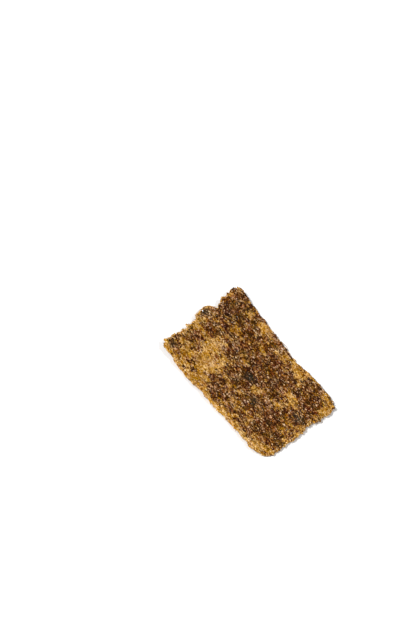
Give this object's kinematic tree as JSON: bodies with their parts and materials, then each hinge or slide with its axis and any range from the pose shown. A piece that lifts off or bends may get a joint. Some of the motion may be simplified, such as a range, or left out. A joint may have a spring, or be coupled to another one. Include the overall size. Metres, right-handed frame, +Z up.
{
  "type": "jerky slab",
  "caption": "Thin slab of dried ground-meat jerky: pressed, rough and granular, with a torn end that curls up and a cut end with ragged teeth.",
  "frame": {"origin": "under the middle of the slab's bounding box, on the surface that it lies on", "axes": "+X along the slab from the torn end to the cut end, +Z up through its thickness, rough face up, +Y across it towards the thin right-hand side"},
  "size_m": [0.0934, 0.062, 0.0062],
  "materials": {
    "dried_meat": null
  },
  "bodies": {
    "root": {"jerky_slab": "dried_meat"}
  },
  "joints": []
}
